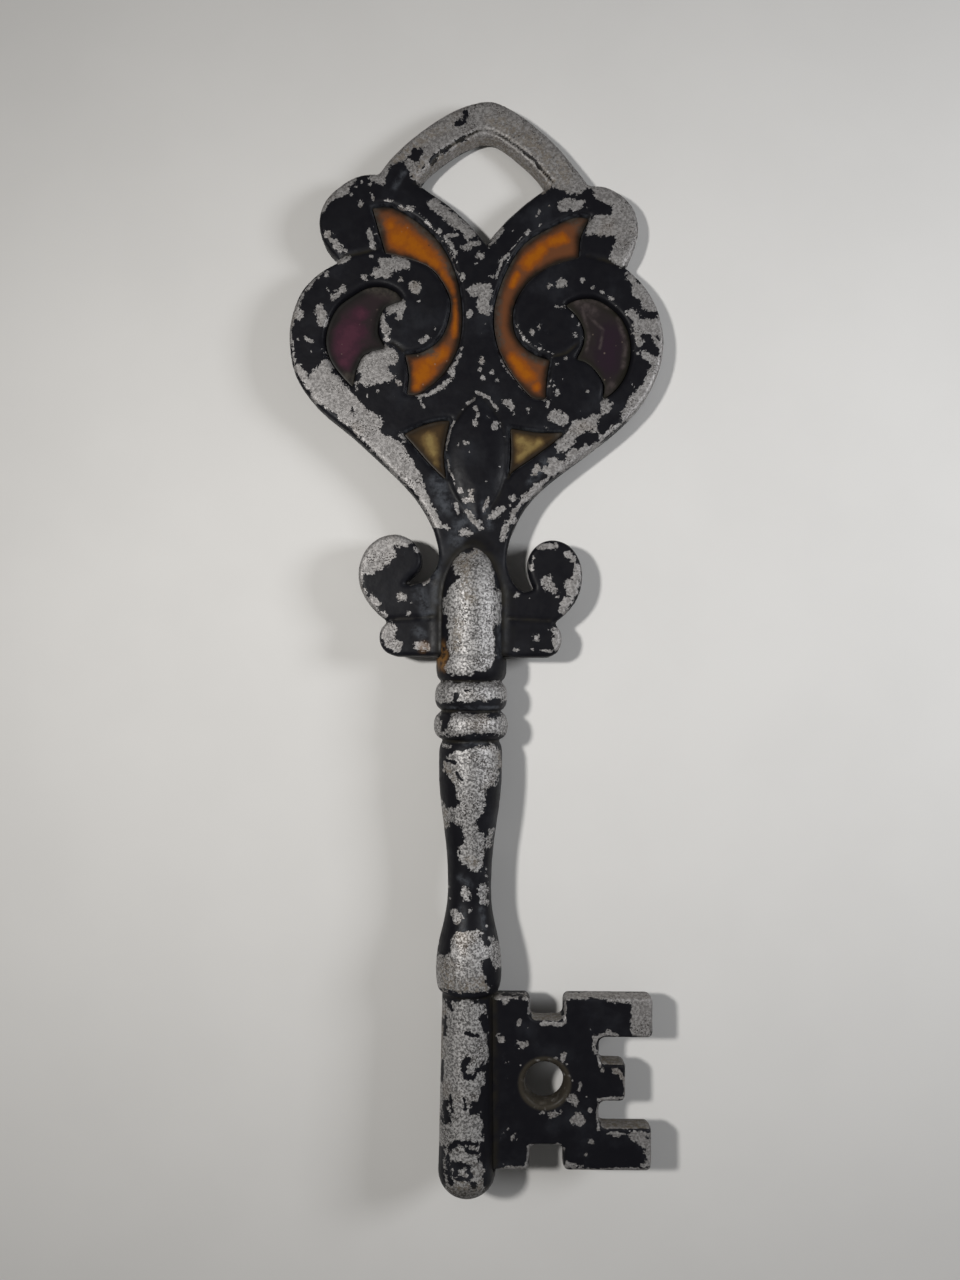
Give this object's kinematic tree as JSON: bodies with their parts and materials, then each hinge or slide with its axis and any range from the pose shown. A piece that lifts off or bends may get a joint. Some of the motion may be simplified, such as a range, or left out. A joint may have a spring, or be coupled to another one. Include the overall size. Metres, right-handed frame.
{
  "type": "decorative key",
  "caption": "Flat openwork scroll bow with resin-filled cells and a hanging loop, on a turned shank with collars, with a toothed bit and a round hole.",
  "frame": {"origin": "under the middle of the key, on the plane that its two collars touch when it lies flat", "axes": "+Y along the key from the pin's end to the hanging loop, +X across it towards the bit's teeth, +Z out of the front face"},
  "size_m": [0.1218, 0.3523, 0.024],
  "materials": {
    "worn_paint": "thin blue-black paint, flaked off at edges and raised places to grey cast metal",
    "bare_metal": "granular grey cast metal, polished by handling, with paint left in the hollows",
    "amber_resin": "poured clear amber resin, glossy, with small bubbles",
    "violet_resin": "poured cloudy violet resin, glossy",
    "yellow_resin": "poured clear yellow resin, glossy, with glints"
  },
  "bodies": {
    "root": {"bow": "worn_paint", "shank": "bare_metal", "bit": "worn_paint", "amber_pane_left": "amber_resin", "amber_pane_right": "amber_resin", "violet_pane_left": "violet_resin", "violet_pane_right": "violet_resin", "yellow_pane_left": "yellow_resin", "yellow_pane_right": "yellow_resin"}
  },
  "joints": []
}
